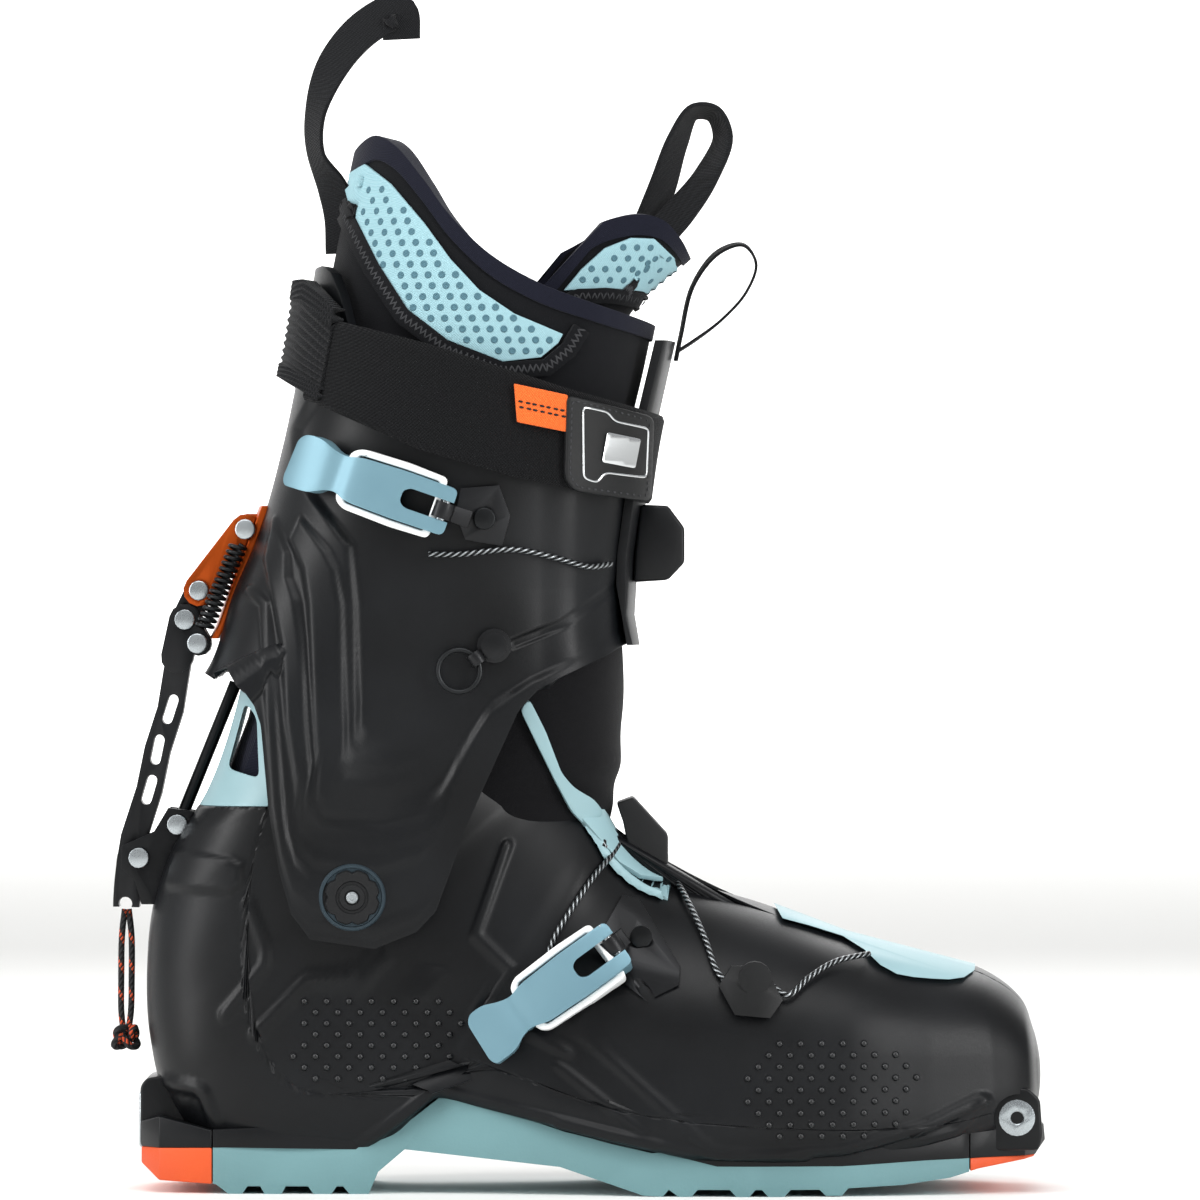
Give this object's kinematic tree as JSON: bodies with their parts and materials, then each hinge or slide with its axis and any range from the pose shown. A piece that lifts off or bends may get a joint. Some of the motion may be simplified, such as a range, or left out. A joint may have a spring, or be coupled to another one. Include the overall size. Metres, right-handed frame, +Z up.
{
  "type": "alpine touring boot",
  "caption": "Two-part touring ski boot with pivoting cuff, walk lever, cable buckles, power strap, padded liner and lugged sole.",
  "frame": {"origin": "on the ground under the middle of the heel, on the bottom face of the second heel lug", "axes": "+X towards the toe, +Y towards the inner side of this right boot, +Z up"},
  "size_m": [0.2955, 0.1187, 0.3728],
  "materials": {
    "shell_black": "satin moulded polyamide",
    "shell_blue": "satin moulded polyether block amide, pale blue",
    "rubber_blue": "moulded sole rubber, grey blue",
    "rubber_orange": "moulded rubber, orange",
    "steel": "zinc-plated steel",
    "buckle_aluminium": "forged, dark anodised",
    "lever_blue": "forged, pale blue anodised",
    "frame_white": "white moulded plastic",
    "anodised_orange": "orange anodised plate",
    "liner_navy": "foam-backed liner cloth",
    "fabric_black": "coated woven cloth",
    "webbing": "woven polyester webbing",
    "strap_badge": "moulded plate with a bright frame line"
  },
  "bodies": {
    "shell": {"lower_shell": "shell_black", "rear_frame_lateral": "shell_blue", "rear_frame_medial": "shell_blue", "toe_insert": "steel", "outsole": "rubber_blue", "heel_tip_rubber": "rubber_orange", "toe_tip_rubber": "rubber_orange", "heel_insert": "steel", "boot_board": "fabric_black", "liner_foot": "liner_navy", "toe_overlap": "shell_blue", "gaiter": "fabric_black", "heel_bracket": "shell_black", "bracket_screw_lateral": "steel", "bracket_screw_medial": "steel", "rod_pivot_bolt": "steel", "pivot_lateral": "shell_black", "pivot_medial": "shell_black", "lower_buckle_base": "buckle_aluminium", "lower_buckle_rivet": "steel", "lower_buckle_pin": "steel", "cable_guide": "shell_black", "instep_cable_front": "steel", "instep_cable_rear": "steel", "toe_cable": "steel", "instep_flap": "fabric_black"},
    "cuff": {"cuff": "shell_black", "shin_plate": "shell_black", "power_strap": "webbing", "strap_yoke": "shell_black", "strap_pull_tab": "rubber_orange", "strap_plate": "strap_badge", "liner_shaft": "liner_navy", "liner_tongue": "liner_navy", "rear_pull_loop": "webbing", "front_pull_loop": "webbing", "shin_tape_loop": "webbing", "upper_buckle_base": "buckle_aluminium", "upper_buckle_rivet": "steel", "upper_buckle_pin": "steel", "cuff_cable_lock": "shell_black", "cuff_cable": "steel", "ring_tab": "steel", "link_carrier": "shell_black", "link_plate_lateral": "anodised_orange", "link_plate_medial": "anodised_orange", "lever_link": "shell_black", "link_bolt_upper": "steel", "link_bolt_lower": "steel", "lever_pivot_bolt": "steel"},
    "walk_lever": {"walk_lever": "shell_black", "spring_post": "steel", "pull_cord": "webbing"},
    "lever_spring": {"lever_spring": "steel"},
    "guide_rod": {"guide_rod": "steel"},
    "upper_buckle": {"upper_buckle_lever": "lever_blue", "upper_buckle_frame": "frame_white"},
    "lower_buckle": {"lower_buckle_lever": "lever_blue", "lower_buckle_frame": "frame_white"},
    "ring": {"d_ring": "steel"}
  },
  "joints": [
    {"name": "cuff_pivot", "type": "hinge", "parent": "shell", "child": "cuff", "pos_m": [0.0252, 0, 0.0934], "axis": [0, 1, 0], "range_deg": [-25, 20], "deforming": ["pull_cord"]},
    {"name": "walk_lever_hinge", "type": "hinge", "parent": "cuff", "child": "walk_lever", "pos_m": [-0.0289, 0, 0.18], "axis": [0, 1, 0], "range_deg": [0, 115]},
    {"name": "lever_spring_swing", "type": "hinge", "parent": "cuff", "child": "lever_spring", "pos_m": [-0.0095, -0.0126, 0.2085], "axis": [0, 1, 0], "range_deg": [0, 22]},
    {"name": "guide_rod_swing", "type": "hinge", "parent": "shell", "child": "guide_rod", "pos_m": [-0.0311, 0, 0.1152], "axis": [0, 1, 0], "range_deg": [-27.5, 22]},
    {"name": "upper_buckle_hinge", "type": "hinge", "parent": "cuff", "child": "upper_buckle", "pos_m": [0.0536, -0.0567, 0.2141], "axis": [0.3286, 0, 0.9445], "range_deg": [0, 150]},
    {"name": "lower_buckle_hinge", "type": "hinge", "parent": "shell", "child": "lower_buckle", "pos_m": [0.1063, -0.0478, 0.0783], "axis": [-0.5839, 0, 0.8118], "range_deg": [0, 115]},
    {"name": "ring_swing", "type": "hinge", "parent": "cuff", "child": "ring", "pos_m": [0.06397, -0.0518, 0.16794], "axis": [-0.5821, 0, 0.8131], "range_deg": [0, 100]}
  ],
  "couplings": [
    {"joint": "lever_spring_swing", "follows": "walk_lever_hinge", "ratio": 0.18},
    {"joint": "guide_rod_swing", "follows": "cuff_pivot", "ratio": 1.07}
  ]
}
